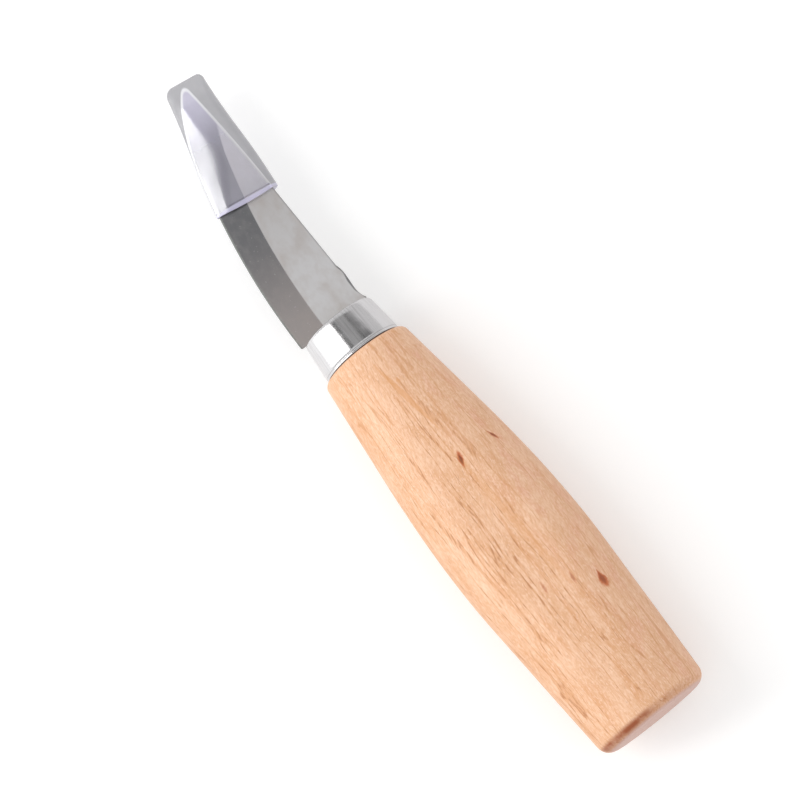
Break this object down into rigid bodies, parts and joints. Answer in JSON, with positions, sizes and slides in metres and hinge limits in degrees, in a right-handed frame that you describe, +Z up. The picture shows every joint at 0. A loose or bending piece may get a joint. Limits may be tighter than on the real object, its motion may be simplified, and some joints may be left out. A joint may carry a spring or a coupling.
{
  "type": "wood carving knife with tip guard",
  "caption": "Short whittling knife with an oval beech handle, a tapered steel ferrule, a straight-backed bevelled blade and a clear pull-off tip guard.",
  "frame": {"origin": "under the middle of the knife's overall length, on the surface it lies on; the knife's axis runs half the handle's thickness above it", "axes": "+X along the handle from the butt to the tip, +Y across to the cutting edge, +Z up out of the upper cheek"},
  "size_m": [0.1656, 0.03, 0.0236],
  "materials": {
    "beech": "sanded beech under a thin matt lacquer",
    "plated_steel": "bright nickel plate with fine lengthwise marks",
    "blade_steel": "satin flats and a darker ground bevel",
    "epoxy": "set adhesive, faintly amber",
    "clear_pvc": "clear soft plastic, slightly grey"
  },
  "bodies": {
    "knife": {"handle": "beech", "ferrule": "plated_steel", "blade": "blade_steel", "tang_adhesive": "epoxy"},
    "guard": {"tip_guard": "clear_pvc"}
  },
  "joints": [
    {"name": "guard_pull_off", "type": "slide", "parent": "knife", "child": "guard", "axis": [0.9848, -0.1736, 0], "range_m": [0, 0.035]}
  ]
}
